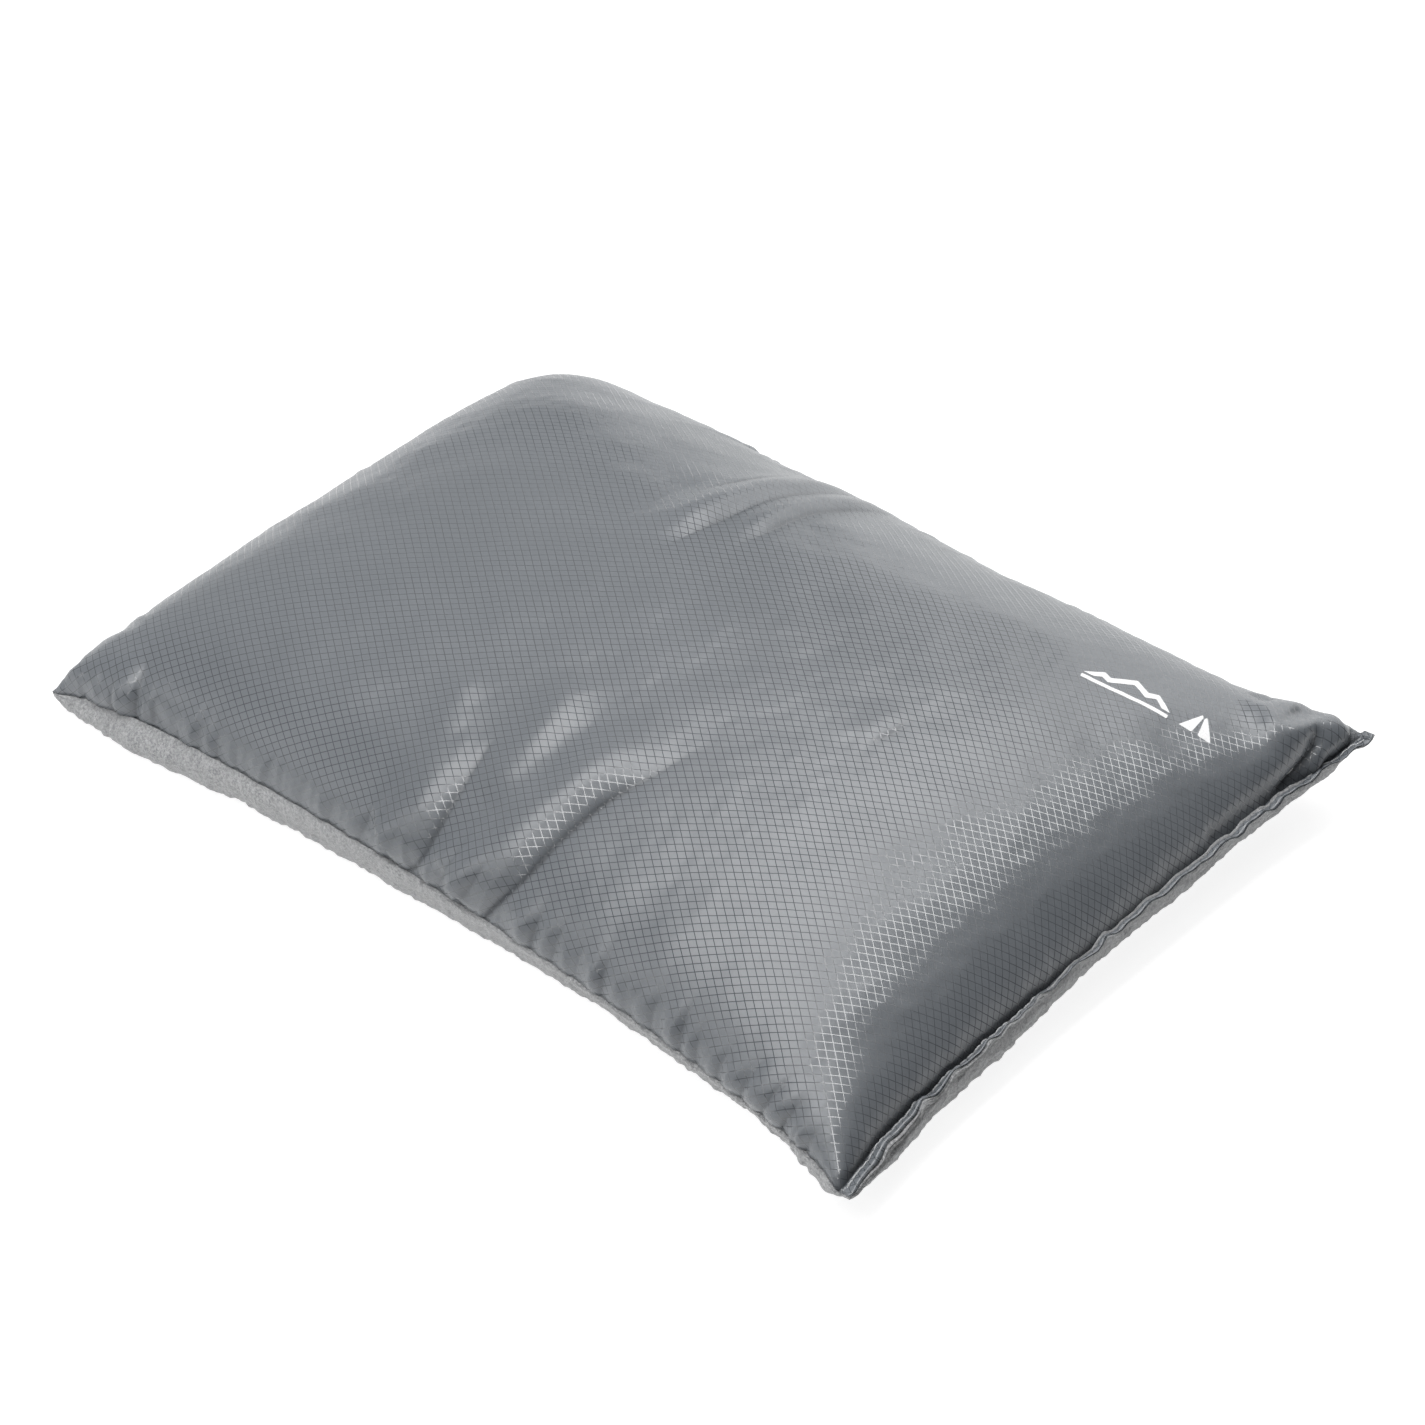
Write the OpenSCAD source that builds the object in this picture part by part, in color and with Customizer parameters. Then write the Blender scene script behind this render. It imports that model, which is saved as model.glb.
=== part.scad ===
// Camp pillow: a ripstop top panel and a fleece bottom panel sewn round a loose fibre fill.
// Millimetres. +X runs along the pillow to its closing seam, +Y across it, +Z up from the table.
// Origin: middle of the pillow's plan, on the table.

/* [Filled pillow] */
// Length between the corners
corner_l = 414; // [380:1:450]
// Width between the corners
corner_w = 304; // [280:1:340]
// How far the middle of each long seam pulls in
bow_long = 12.5; // [4:0.5:20]
// How far the middle of each short seam pulls in
bow_short = 11; // [4:0.5:18]
// Rise of the top panel above the seam, at the middle
crown_h = 49; // [35:1:60]
// Drop that the bottom panel would have below the seam if no table flattened it
belly_h = 60; // [50:1:80]

/* [Seam heights above the table] */
// Front corner at the turned end
seam_front_left = 12; // [8:1:20]
// Front corner at the closing end
seam_front_right = 19; // [10:1:30]
// Back corner at the closing end
seam_back_right = 35; // [15:1:40]
// Back corner at the turned end
seam_back_left = 9; // [8:1:20]
// Middle of the front seam
seam_front = 27; // [16:1:32]
// Middle of the back seam
seam_back = 18; // [14:1:28]
// Middle of the turned end's seam
seam_left = 19; // [14:1:28]
// Middle of the closing seam
seam_right = 25; // [16:1:32]

/* [Cloth and seams] */
// Thickness of the ripstop top panel
shell_t = 0.4; // [0.3:0.1:0.6]
// Thickness of the fleece bottom panel
fleece_t = 1.4; // [1:0.1:1.8]
// Width of the cloth turned in at every seam
allowance = 10; // [8:1:12]
// Width of the flat topstitched edge at the closing end
flange = 5; // [4:0.5:6]
// Length of one stitch of the closing seam
stitch = 4; // [3:0.5:6]
// Diameter of the closing thread
thread_d = 0.5; // [0.3:0.1:0.6]
// Diameter of the thread in the turned seams
seam_thread_d = 0.4; // [0.3:0.1:0.5]

/* [Printed mark] */
// Length of the printed motif along the pillow
mark_l = 56; // [50:1:70]
// Height of the printed motif
mark_h = 14; // [12:1:18]
// Thickness of the print film
mark_t = 0.15; // [0.1:0.05:0.2]

/* [Hidden] */

half_l = corner_l / 2;
half_w = corner_w / 2;
top = 1;
bottom = -1;

// Fullness of the crown towards the ends, towards the sides and at the corners
end_power = 3.2;
side_power = 2.8;
corner_power = 0.85;
// Slack between the two panels along the seam, and round a thread that lies on cloth
layer_gap = 0.1;
// Space inside each folded edge, where the turned seams' thread runs
fold_gap = 0.7;
// Space between the fill and the cloth round it, and between it and the seam allowances
fill_gap = 0.5;
fill_rim_gap = 3;
// Share of even spacing in the grids; the rest crowds their lines towards the edges
even_share = 0.5;
// Cells of the panels along and across the pillow
panel_cells = [32, 22];
thread_sides = 4;
// Distance of the turned seams' thread from the edge, and the spacing of its rings
seam_thread_in = 2.5;
seam_ring = 12;
// Where the closing thread's first and last stitches lie, as a share of half the width
closing_reach = 0.985;
// Rise of the closing thread between two stitch holes
stitch_rise = 0.15;
// Middle of the printed motif, its turn from the pillow's length, and the width of its lines
mark_at = [143.5, 90.5];
mark_turn = 16;
mark_line = 1.8;
// Space under the print film, so that it clears the panel's facets
mark_gap = 0.2;

// -1 to 1 in n steps, closer together towards both ends
function spaced(n) = [
    for (k = [0:n]) let (t = -1 + 2 * k / n) even_share * t + (1 - even_share) * sin(90 * t)
];
function mix(a, b, share) = a + (b - a) * share;
function bulge(t) = 1 - pow(abs(t), 3);

// Plan position of the point (u, v), where u and v run from -1 to 1 between the seams
function plan_x(u, v) = u * (half_l - bow_short * bulge(v));
function plan_y(u, v) = v * (half_w - bow_long * bulge(u));

// The (u, v) of a plan position, closer at each turn
function plan_uv(x, y, turns = 6, u = 0, v = 0) =
    turns == 0 ? [u, v] : plan_uv(
        x, y, turns - 1, x / (half_l - bow_short * bulge(v)), y / (half_w - bow_long * bulge(u))
    );

// Height of a seam along one edge, from its two corners and its middle
function seam_edge(t, from, middle, to) =
    mix(from, to, (t + 1) / 2) + (middle - (from + to) / 2) * bulge(t);
function seam_front_z(u) = seam_edge(u, seam_front_left, seam_front, seam_front_right);
function seam_back_z(u) = seam_edge(u, seam_back_left, seam_back, seam_back_right);
function seam_left_z(v) = seam_edge(v, seam_front_left, seam_left, seam_back_left);
function seam_right_z(v) = seam_edge(v, seam_front_right, seam_right, seam_back_right);

// The seam plane, blended between the four edges
function seam_z(u, v) =
    let (s = (u + 1) / 2, t = (v + 1) / 2)
    mix(seam_front_z(u), seam_back_z(u), t) + mix(seam_left_z(v), seam_right_z(v), s)
    - mix(mix(seam_front_left, seam_front_right, s), mix(seam_back_left, seam_back_right, s), t);

// Where the flat edge of the closing seam begins, and how full the pillow is at (u, v)
flange_u = 1 - 2 * flange / corner_l;
function along(u) = min(1, 2 * (u + 1) / (flange_u + 1) - 1);
function fullness(u, v) =
    max(0, 1 - pow(abs(along(u)), end_power)) * max(0, 1 - pow(abs(v), side_power));

function cloth_t(side) = side == top ? shell_t : fleece_t;
// Height of a panel's outer face above the seam plane where it folds in
function fold_h(side) = layer_gap / 2 + 2 * cloth_t(side) + fold_gap;
function top_z(u, v) = seam_z(u, v) + fold_h(top) + crown_h * pow(fullness(u, v), corner_power);
function bottom_z(u, v) = max(0, seam_z(u, v) - fold_h(bottom) - belly_h * fullness(u, v));
function face_z(side, u, v) = side == top ? top_z(u, v) : bottom_z(u, v);

// A point of a panel: inset moves it towards the middle of the plan, by millimetres
function placed(u, v, z, inset) =
    [plan_x(u, v) * (1 - inset / half_l), plan_y(u, v) * (1 - inset / half_w), z];
// A point that far inside the edge, at height lift above the seam plane
function by_seam(u, v, lift, inset) =
    placed(u, v, seam_z(u * (1 - inset / half_l), v * (1 - inset / half_w)) + lift, inset);

// Indices of the border of a grid of columns by rows points, anticlockwise from its first corner
function border(columns, rows) = concat(
    [for (i = [0:columns - 2]) i],
    [for (j = [0:rows - 2]) j * columns + columns - 1],
    [for (i = [columns - 1:-1:1]) (rows - 1) * columns + i],
    [for (j = [rows - 1:-1:1]) j * columns]
);
function flip(face) = [for (k = [len(face) - 1:-1:0]) face[k]];
// Faces of a grid, clockwise from above, and of the strip between two loops of points
function grid_faces(columns, rows, first) = [
    for (j = [0:rows - 2], i = [0:columns - 2])
        let (a = first + j * columns + i) each [[a, a + columns, a + columns + 1], [a, a + columns + 1, a + 1]]
];
function strip_faces(outer, inner) = [
    for (k = [0:len(outer) - 1])
        let (n = (k + 1) % len(outer))
            each [[outer[k], outer[n], inner[n]], [outer[k], inner[n], inner[k]]]
];

// Grid lines of the panels; the last along the pillow is the outer edge of the flange
panel_us = concat([for (c = spaced(panel_cells[0])) mix(-1, flange_u, (c + 1) / 2)], [1]);
panel_vs = spaced(panel_cells[1]);

// One panel of cloth: its crown or belly, folded in by the seam allowance on all four sides
module panel(side) {
    t = cloth_t(side);
    us = panel_us;
    vs = panel_vs;
    columns = len(us);
    rows = len(vs);
    count = columns * rows;
    rim = border(columns, rows);
    rim_uv = [for (r = rim) [us[r % columns], vs[floor(r / columns)]]];
    face = [for (v = vs, u = us) placed(u, v, face_z(side, u, v), 0)];
    back = [for (v = vs, u = us) placed(u, v, face_z(side, u, v) - side * t, t)];
    seam = side * layer_gap / 2;
    // The fold at the edge and the allowance behind it, as four loops round the rim
    loops = [
        for (level = [[0, 0], [allowance, 0], [allowance, t], [t, t]])
            [for (p = rim_uv) by_seam(p[0], p[1], seam + side * level[1], level[0])]
    ];
    function loop(k) = [for (i = [0:len(rim) - 1]) 2 * count + k * len(rim) + i];
    back_rim = [for (r = rim) count + r];
    faces = concat(
        grid_faces(columns, rows, 0),
        [for (f = grid_faces(columns, rows, count)) flip(f)],
        strip_faces(rim, loop(0)), strip_faces(loop(0), loop(1)), strip_faces(loop(1), loop(2)),
        strip_faces(loop(2), loop(3)), strip_faces(loop(3), back_rim)
    );
    polyhedron(
        points = concat(face, back, loops[0], loops[1], loops[2], loops[3]),
        faces = side == top ? faces : [for (f = faces) flip(f)]
    );
}

module top_panel() {
    color([0.52, 0.54, 0.56]) panel(top);
}

module bottom_panel() {
    color([0.74, 0.75, 0.75]) panel(bottom);
}

// Loose fibre, filling the bag up to the seam allowances
module fibre_fill() {
    rim_inset = allowance + fill_rim_gap;
    us = [for (u = panel_us) if (abs(u) < 1 - rim_inset / half_l) u];
    vs = [for (v = panel_vs) if (abs(v) < 1 - rim_inset / half_w) v];
    columns = len(us);
    rows = len(vs);
    count = columns * rows;
    rim = border(columns, rows);
    under_top = shell_t + fill_gap;
    over_bottom = fleece_t + fill_gap;
    upper = [for (v = vs, u = us) placed(u, v, top_z(u, v) - under_top, under_top)];
    lower = [for (v = vs, u = us) placed(u, v, bottom_z(u, v) + over_bottom, over_bottom)];
    color([0.96, 0.96, 0.94]) polyhedron(
        points = concat(upper, lower),
        faces = concat(
            grid_faces(columns, rows, 0),
            [for (f = grid_faces(columns, rows, count)) flip(f)],
            strip_faces(rim, [for (r = rim) count + r])
        )
    );
}

// A thread along a path that rises and falls little: rings of thread_sides points
module thread(path, diameter) {
    last = len(path) - 1;
    rings = [
        for (k = [0:last])
            let (
                run = path[min(k + 1, last)] - path[max(k - 1, 0)],
                across = cross(run, [0, 0, 1]) / norm(cross(run, [0, 0, 1])),
                up = cross(across, run) / norm(run)
            )
                for (s = [0:thread_sides - 1])
                    let (a = 360 * (s + 0.5) / thread_sides)
                        path[k] + diameter / 2 * (cos(a) * across + sin(a) * up)
    ];
    walls = [
        for (k = [0:last - 1], s = [0:thread_sides - 1])
            let (a = k * thread_sides, n = (s + 1) % thread_sides)
                each [
                    [a + s, a + n, a + thread_sides + n],
                    [a + s, a + thread_sides + n, a + thread_sides + s]
                ]
    ];
    ends = [
        [for (s = [thread_sides - 1:-1:0]) s],
        [for (s = [0:thread_sides - 1]) last * thread_sides + s]
    ];
    polyhedron(points = rings, faces = concat(walls, ends));
}

// Lockstitch along the middle of the closing seam's flat edge, on the top or the bottom of it
module closing_thread(side) {
    count = floor(closing_reach * corner_w / stitch);
    u = 1 - flange / corner_l;
    thread([
        for (k = [0:count - 1], share = [0, 0.25, 0.75])
            let (
                v = closing_reach * (2 * (k + share) / count - 1),
                lift = layer_gap + thread_d / 2 + (share == 0 ? 0 : stitch_rise)
            )
                placed(u, v, face_z(side, u, v) + side * lift, 0)
    ], thread_d);
}

module closing_needle_thread() {
    color([0.72, 0.73, 0.73]) closing_thread(top);
}

module closing_bobbin_thread() {
    color([0.72, 0.73, 0.73]) closing_thread(bottom);
}

// Thread of the turned seams, inside the bag: along the front, the turned end and the back
module turned_thread(side) {
    long = floor(corner_l / seam_ring);
    short = floor(corner_w / seam_ring);
    lift = layer_gap / 2 + cloth_t(side) + layer_gap + seam_thread_d / 2;
    uv = concat(
        [for (k = [1:long]) [1 - 2 * k / long, -1]],
        [for (k = [1:short - 1]) [-1, 2 * k / short - 1]],
        [for (k = [0:long - 1]) [2 * k / long - 1, 1]]
    );
    thread([
        for (p = uv) by_seam(p[0], p[1], side * lift, seam_thread_in)
    ], seam_thread_d);
}

module seam_needle_thread() {
    color([0.5, 0.51, 0.52]) turned_thread(top);
}

module seam_bobbin_thread() {
    color([0.5, 0.51, 0.52]) turned_thread(bottom);
}

function turned(p) = [
    p[0] * cos(mark_turn) - p[1] * sin(mark_turn), p[0] * sin(mark_turn) + p[1] * cos(mark_turn)
];

// A flat stripe of print on the top panel, between two points of the motif
module stripe(from, to, width) {
    steps = max(2, ceil(norm(to - from) / 4));
    across = [from[1] - to[1], to[0] - from[0]] / norm(to - from) * width / 2;
    points = [
        for (k = [0:steps], side = [1, -1], lift = [0, mark_t])
            let (
                p = mark_at + turned(mix(from, to, k / steps) + side * across),
                q = plan_uv(p[0], p[1])
            ) [p[0], p[1], top_z(q[0], q[1]) + mark_gap + lift]
    ];
    walls = [
        for (k = [0:steps - 1], pair = [[0, 1], [1, 3], [3, 2], [2, 0]])
            let (a = 4 * k + pair[0], b = 4 * k + pair[1]) each [[a, b, b + 4], [a, b + 4, a + 4]]
    ];
    polyhedron(
        points = points,
        faces = concat(walls, [[0, 2, 3, 1], [4 * steps + 1, 4 * steps + 3, 4 * steps + 2, 4 * steps]])
    );
}

// A plain motif: a ridge of hills over a ground line, and a tent beside it
module printed_mark() {
    half = mark_l / 2;
    base = -mark_h / 2;
    gap = mark_line;
    ground = half - 22;
    ridge = [
        [-half, base + 4], [-half + 9, base + mark_h - 3], [-half + 15, base + 6],
        [-half + 24, base + mark_h], [ground, base + 4]
    ];
    color([0.96, 0.96, 0.96]) {
        for (k = [0:len(ridge) - 2]) {
            way = (ridge[k + 1] - ridge[k]) / norm(ridge[k + 1] - ridge[k]);
            stripe(ridge[k] + way * gap, ridge[k + 1] - way * gap, mark_line);
        }
        stripe([-half, base], [ground, base], mark_line / 2);
        stripe([half - 16, base + 2], [half - 9, base + mark_h - 3], mark_line);
        stripe([half - 7, base + mark_h - 3], [half, base + 2], mark_line);
        stripe([half - 16, base], [half, base], mark_line);
    }
}

top_panel();
bottom_panel();
fibre_fill();
printed_mark();
closing_needle_thread();
closing_bobbin_thread();
seam_needle_thread();
seam_bobbin_thread();
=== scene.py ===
"""Camp pillow: a ripstop top panel and a fleece bottom panel, sewn together and filled with loose fibre.

The two panels are simulated as one sewn bag of cloth that is filled and lies on a table. Folds, seam
puckers, stitches, the print and the pile are then added to the simulated cloth. Metres throughout.
"""

import math

import bpy
import numpy as np
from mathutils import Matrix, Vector
from mathutils.geometry import delaunay_2d_cdt


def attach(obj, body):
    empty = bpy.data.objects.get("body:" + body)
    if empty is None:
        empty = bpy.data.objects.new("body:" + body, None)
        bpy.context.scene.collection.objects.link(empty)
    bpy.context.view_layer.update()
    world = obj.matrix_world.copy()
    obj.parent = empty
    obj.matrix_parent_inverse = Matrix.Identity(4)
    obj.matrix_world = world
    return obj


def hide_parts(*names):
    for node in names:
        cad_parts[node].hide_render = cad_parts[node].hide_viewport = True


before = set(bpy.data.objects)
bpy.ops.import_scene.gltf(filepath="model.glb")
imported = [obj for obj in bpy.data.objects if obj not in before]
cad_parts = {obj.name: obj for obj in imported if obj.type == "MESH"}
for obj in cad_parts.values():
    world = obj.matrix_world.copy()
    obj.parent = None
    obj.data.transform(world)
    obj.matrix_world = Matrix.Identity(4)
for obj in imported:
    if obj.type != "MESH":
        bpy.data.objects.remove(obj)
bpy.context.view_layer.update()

# ---------------------------------------------------------------- driving sizes

FLAT_L, FLAT_W = 0.420, 0.310  # sewn size of the flat, empty bag
HALF = np.array([FLAT_L / 2, FLAT_W / 2])
FILL_VOLUME = 0.0064  # cubic metres
ALLOWANCE = 0.010  # cloth turned in at every seam
FLANGE = 0.0045  # flat topstitched edge at the closing end
RIPSTOP_T = 0.0003
FLEECE_T = 0.0013
GRID_PITCH = 0.0030  # between two lines of the ripstop's diamond grid
GRID_ANGLE = math.radians(37.5)  # of those lines to the pillow's length
WEAVE_PITCH = 0.0004  # of the fine weave between them
THREAD_LEAN = 0.22  # slope by which the grid's thick threads lean towards the left end
STITCH = 0.004  # length of one
TOP, BOTTOM = 0, 1  # the two panels, as the first index of a bag's points
RANDOM_SEED = 11

# Heights of the seam above the table: four corners and four middles. A fit of the simulated bag to the
# photo gave these and FILL_VOLUME, apart from the height at the left.
SEAM_Z = {
    "front_left": 0.0071, "front": 0.0293, "front_right": 0.0157, "right": 0.0251,
    "back_right": 0.0400, "back": 0.0142, "back_left": 0.0062, "left": 0.0180,
}  # fmt: skip
FRONT_SAG = 0.0050  # of the front seam, left of its middle
SAG_AT, SAG_REACH = -0.45, 0.35  # of that sag, as shares of half the length


def smooth(low, high, x):
    """0 below low, 1 above high, and a smooth step between them."""
    t = np.clip((x - low) / (high - low), 0, 1)
    return t * t * (3 - 2 * t)


# ---------------------------------------------------------------- cloth simulation
# Both panels are grids of points with the same rows and columns, in an array [panel, row, column, xyz].


def flat_grid(columns, rows):
    """Positions on the flat bag, as two arrays [row, column]."""
    x = np.linspace(-HALF[0], HALF[0], columns)
    y = np.linspace(-HALF[1], HALF[1], rows)
    return np.meshgrid(x, y)


def slack_bag(columns, rows):
    """The empty bag, hardly opened."""
    x, y = flat_grid(columns, rows)
    swell = np.sqrt(np.clip(np.cos(np.pi * x / FLAT_L) * np.cos(np.pi * y / FLAT_W), 0, 1))
    mid, half_gap = 0.03, 0.02
    return np.stack([np.stack([x, y, mid + side * half_gap * swell], -1) for side in (1, -1)])


def seam_edge(t, first, middle, last):
    """A seam's height at t, from -1 to 1 along it, through its two corners and its middle."""
    return first + (last - first) * (t + 1) / 2 + (middle - (first + last) / 2) * (1 - np.abs(t) ** 3)


def seam_heights(columns, rows):
    """Pairs of (where, height) for the four seams."""
    u, v = np.linspace(-1, 1, columns), np.linspace(-1, 1, rows)
    z, every = SEAM_Z, slice(None)
    sag = FRONT_SAG * np.exp(-(((u - SAG_AT) / SAG_REACH) ** 2))
    return [
        ((every, 0, every), seam_edge(u, z["front_left"], z["front"], z["front_right"]) - sag),
        ((every, -1, every), seam_edge(u, z["back_left"], z["back"], z["back_right"])),
        ((every, every, -1), seam_edge(v, z["front_right"], z["right"], z["back_right"])),
        ((every, every, 0), seam_edge(v, z["front_left"], z["left"], z["back_left"])),
    ]


def sew(bag, flange_columns):
    """Joins the panels along the four seams, and over the flat edge at the closing end."""
    for where in (
        np.s_[:, 0, :], np.s_[:, -1, :], np.s_[:, :, 0], np.s_[:, :, -flange_columns:],
    ):  # fmt: skip
        bag[where] = bag[where].mean(0)


def pull(a, b, rest, stiffness, push=None):
    """Moves two views of the grid towards their rest distance, in place."""
    gap = b - a
    length = np.sqrt(np.einsum("...i,...i->...", gap, gap)) + 1e-12
    error = (length - rest) / length
    share = 0.5 * (stiffness if push is None else np.where(error > 0, stiffness, push))
    gap *= (error * share)[..., None]
    a += gap
    b -= gap


def pairs(bag, axis, reach, phase):
    """Two views of points that are reach apart along axis, so that no point is in both."""
    ends = []
    for first in (phase, phase + reach):
        window = [slice(None)] * 3
        window[axis] = slice(first, bag.shape[axis] - reach + first - phase, 2 * reach)
        ends.append(bag[tuple(window)])
    count = min(e.shape[axis] for e in ends)
    cut = [slice(None)] * 3
    cut[axis] = slice(0, count)
    return [e[tuple(cut)] for e in ends]


def hold_cloth(bag, step_x, step_y, shear, bend):
    """One pass over warp, weft, both diagonals and the bending pairs."""
    stretch, squeeze = 1.0, 0.9
    for axis, step in ((2, step_x), (1, step_y)):
        for phase in (0, 1):
            pull(*pairs(bag, axis, 1, phase), step, stretch, squeeze)
    diagonal = math.hypot(step_x, step_y)
    for phase in (0, 1):
        for left, right in ((slice(0, -1), slice(1, None)), (slice(1, None), slice(0, -1))):
            a = bag[:, phase:-1:2, left]
            b = bag[:, phase + 1 :: 2, right]
            count = min(a.shape[1], b.shape[1])
            pull(a[:, :count], b[:, :count], diagonal, shear)
    for axis, step in ((2, step_x), (1, step_y)):
        for phase in (0, 1):
            pull(*pairs(bag, axis, 2, phase), 2 * step, bend)


def area_vectors(bag):
    """Each point's share of the cloth's area, as a vector that points out of the bag."""
    one = bag[:, 1:, 1:] - bag[:, :-1, :-1]
    two = bag[:, 1:, :-1] - bag[:, :-1, 1:]
    face = np.cross(one, two) / 8
    face[BOTTOM] *= -1
    vectors = np.zeros_like(bag)
    for rows in (slice(0, -1), slice(1, None)):
        for columns in (slice(0, -1), slice(1, None)):
            vectors[:, rows, columns] += face
    return vectors


def settle(bag, steps, dt, flange_columns):
    """Fills the bag to its volume, pulls its seams to their heights, and lets it come to rest."""
    rows, columns = bag.shape[1:3]
    step_x, step_y = FLAT_L / (columns - 1), FLAT_W / (rows - 1)
    mass = step_x * step_y  # one kilogram to the square metre
    most_pressure, softness = 60.0, 0.15  # full pressure when this share of the filling is missing
    damping, friction, fastest = 0.15, 0.3, 0.6
    gravity, cloth_share = 9.8, 0.075  # the rest of the weight goes with the thickness of the filling
    seam_pull = 4000.0  # towards the height of the seam
    shear, bend = 0.3, np.array([0.02, 0.1])[:, None, None]  # bend of the ripstop and of the fleece
    passes = 2
    seams = seam_heights(columns, rows)
    speed = np.zeros_like(bag)
    for _ in range(steps):
        out = area_vectors(bag)
        volume = float((bag * out).sum() / 3)
        pressure = most_pressure * min(1, max(0, (FILL_VOLUME - volume) / (softness * FILL_VOLUME)))
        push = out * (pressure / mass)
        thickness = np.abs(bag[TOP, ..., 2] - bag[BOTTOM, ..., 2])
        push[..., 2] -= gravity * (cloth_share + (1 - cloth_share) * thickness / thickness.mean())
        for where, height in seams:
            push[where + (2,)] += (height - bag[where + (2,)]) * seam_pull
        speed = (speed + push * dt) * (1 - damping)
        speed *= np.minimum(1, fastest / (np.linalg.norm(speed, axis=-1, keepdims=True) + 1e-9))
        moved = bag + speed * dt
        for _ in range(passes):
            hold_cloth(moved, step_x, step_y, shear, bend)
            sew(moved, flange_columns)
            under = moved[..., 2] < 0
            moved[..., :2] -= (moved[..., :2] - bag[..., :2]) * (under * friction)[..., None]
            moved[..., 2] = np.maximum(moved[..., 2], 0)
        speed = (moved - bag) / dt
        bag = moved
    return bag


def finer(bag):
    """The same cloth with a point added between each two, on smooth curves."""
    for axis in (1, 2):
        old = np.moveaxis(bag, axis, 0)
        new = np.zeros((2 * len(old) - 1,) + old.shape[1:])
        new[::2] = old
        new[3:-3:2] = (9 * (old[1:-2] + old[2:-1]) - (old[:-3] + old[3:])) / 16
        new[1] = (3 * old[0] + 6 * old[1] - old[2]) / 8
        new[-2] = (3 * old[-1] + 6 * old[-2] - old[-3]) / 8
        bag = np.moveaxis(new, 0, axis)
    return bag


def simulate():
    """The filled bag at rest: settled on a coarse grid, then on two finer ones."""
    bag = settle(slack_bag(53, 39), steps=250, dt=0.004, flange_columns=1)
    bag = settle(bag, steps=250, dt=0.002, flange_columns=1)
    bag = finer(bag)
    bag = settle(bag, steps=350, dt=0.0015, flange_columns=2)
    bag = finer(bag)
    bag = settle(bag, steps=250, dt=0.001, flange_columns=3)
    return bag


# ---------------------------------------------------------------- reading the simulated cloth


def cubic_weights(t):
    """Of four points in a row, for a smooth curve between the middle two."""
    return np.stack([
        -0.5 * t + t**2 - 0.5 * t**3, 1 - 2.5 * t**2 + 1.5 * t**3,
        0.5 * t + 2 * t**2 - 1.5 * t**3, -0.5 * t**2 + 0.5 * t**3,
    ])  # fmt: skip


def sample(sheet, x, y):
    """Points of one grid [row, column, values] at flat positions x, y."""
    rows, columns = sheet.shape[:2]
    fx = np.clip((x / FLAT_L + 0.5) * (columns - 1), 0, columns - 1)
    fy = np.clip((y / FLAT_W + 0.5) * (rows - 1), 0, rows - 1)
    ix = np.minimum(fx.astype(int), columns - 2)
    iy = np.minimum(fy.astype(int), rows - 2)
    padded = np.pad(sheet, ((1, 1), (1, 1), (0, 0)), mode="reflect", reflect_type="odd")
    wx, wy = cubic_weights(fx - ix), cubic_weights(fy - iy)
    found = 0
    for j in range(4):
        for i in range(4):
            found = found + padded[iy + j, ix + i] * (wy[j] * wx[i])[..., None]
    return found


def unit(v):
    return v / (np.linalg.norm(v, axis=-1, keepdims=True) + 1e-15)


def sheet_normals(sheet):
    """Unit normals of one grid, up where it lies flat."""
    return unit(np.cross(np.gradient(sheet, axis=1), np.gradient(sheet, axis=0)))


# ---------------------------------------------------------------- lumps of filling
# Millimetres: middle x, y on the flat panel, reach along x and y, and how far the cloth stands out. Many
# of the last numbers come from a scratch fit to the photo's outline, rounded or changed by hand.

TOP_LUMPS = [
    (-165, -60, 55, 70, 3.5), (-188, -125, 25, 25, 1.5), (-204, -142, 13, 14, 3),
    (-185, 105, 28, 28, 4), (-165, 60, 50, 60, 4.5), (-140, 120, 40, 35, -4.5),
    (-75, 115, 45, 45, -5.5), (30, 120, 60, 40, -4), (165, 90, 50, 60, -1.5),
    (188, 137, 24, 20, 5), (-90, -110, 80, 45, 1), (0, 0, 110, 70, 1.5),
]  # fmt: skip
BELLY_LUMPS = [
    (-165, -150, 45, 45, 7), (60, -150, 60, 45, -4), (150, -150, 45, 45, -2.5),
    (205, -130, 30, 30, 6), (182, -150, 28, 40, -0.5), (205, -60, 45, 50, 1.5),
    (205, 10, 45, 50, -4.5), (205, 100, 45, 50, -5),
]  # fmt: skip
# Sign of x, reach and shift. The back left corner is tucked in and down, and the back right one is lifted.
BACK_CORNERS = [(-1, 0.055, (0.007, -0.010, -0.005)), (1, 0.020, (0.0, 0.0, 0.004))]
BELLY_TUCK = 0.0024  # how far the belly draws in under the front seam
BELLY_SIDEWAYS = 0.3  # a lump of the belly pushes out more than down


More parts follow.
